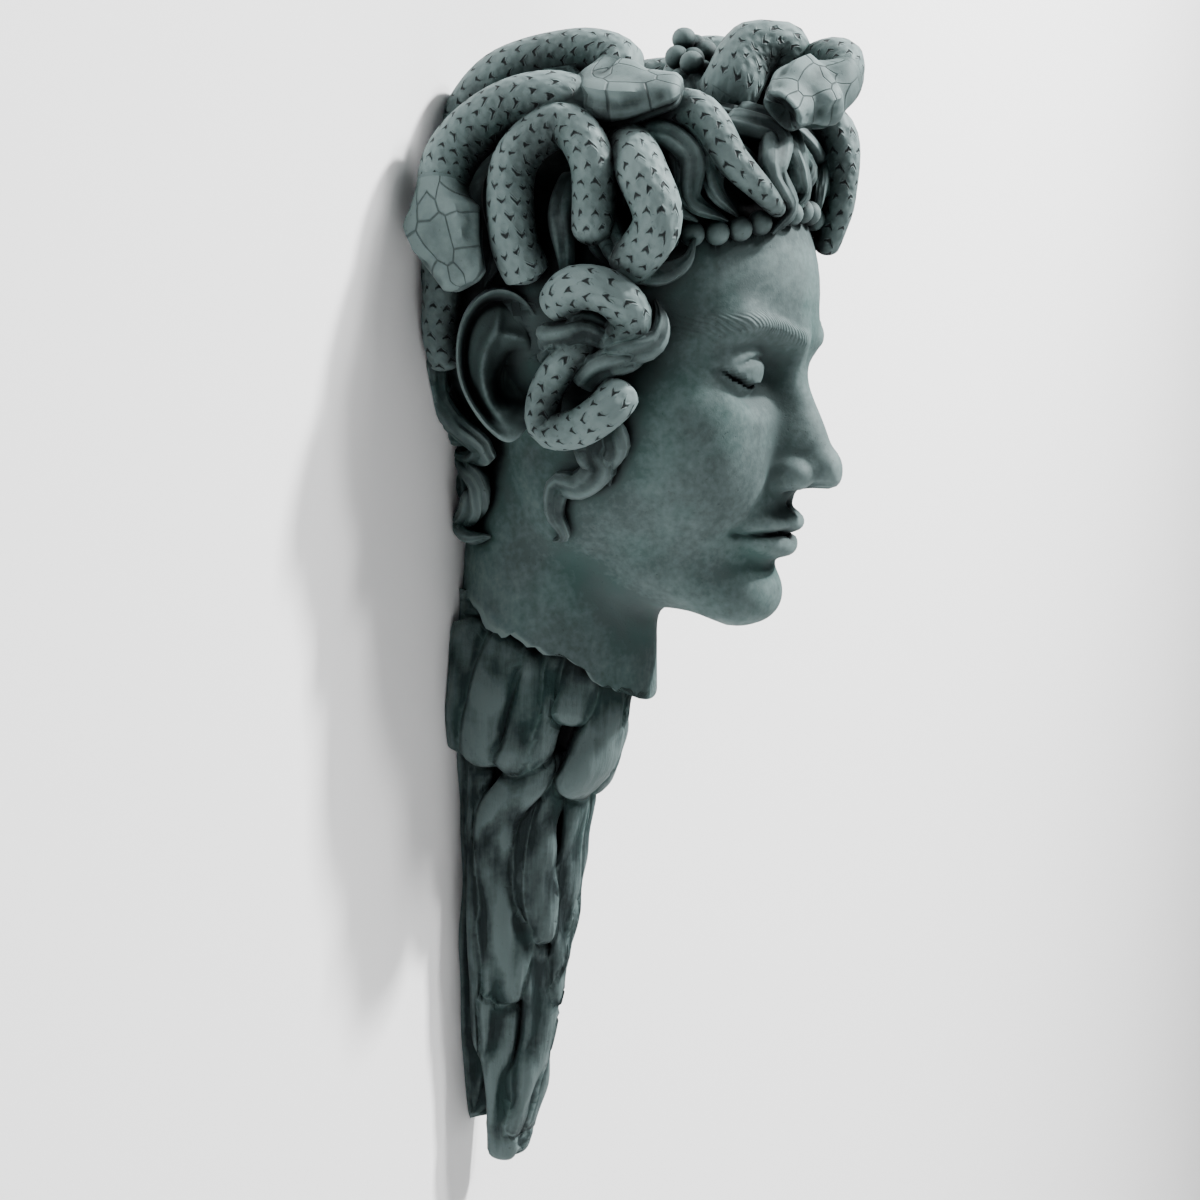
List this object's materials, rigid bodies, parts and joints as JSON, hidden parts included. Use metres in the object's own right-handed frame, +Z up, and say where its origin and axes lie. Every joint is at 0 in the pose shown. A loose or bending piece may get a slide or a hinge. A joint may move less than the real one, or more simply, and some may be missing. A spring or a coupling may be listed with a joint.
{
  "type": "gorgon wall mask",
  "caption": "Gorgon wall mask: a calm face crowned with coiled snakes, a bead string, a broken neck edge and streams tapering to a point, with a flat back.",
  "frame": {"origin": "on the flat back, at the height of the eyes and on the middle line", "axes": "+Y into the wall, -Y the way the face looks, +Z up"},
  "size_m": [0.2524, 0.1969, 0.6155],
  "materials": {
    "verdigris_cast": "matt blue-green verdigris with a fine brushed grain, near black in the recesses and rubbed lighter on the raised forms"
  },
  "bodies": {
    "root": {"gorgon_mask": "verdigris_cast"}
  },
  "joints": []
}
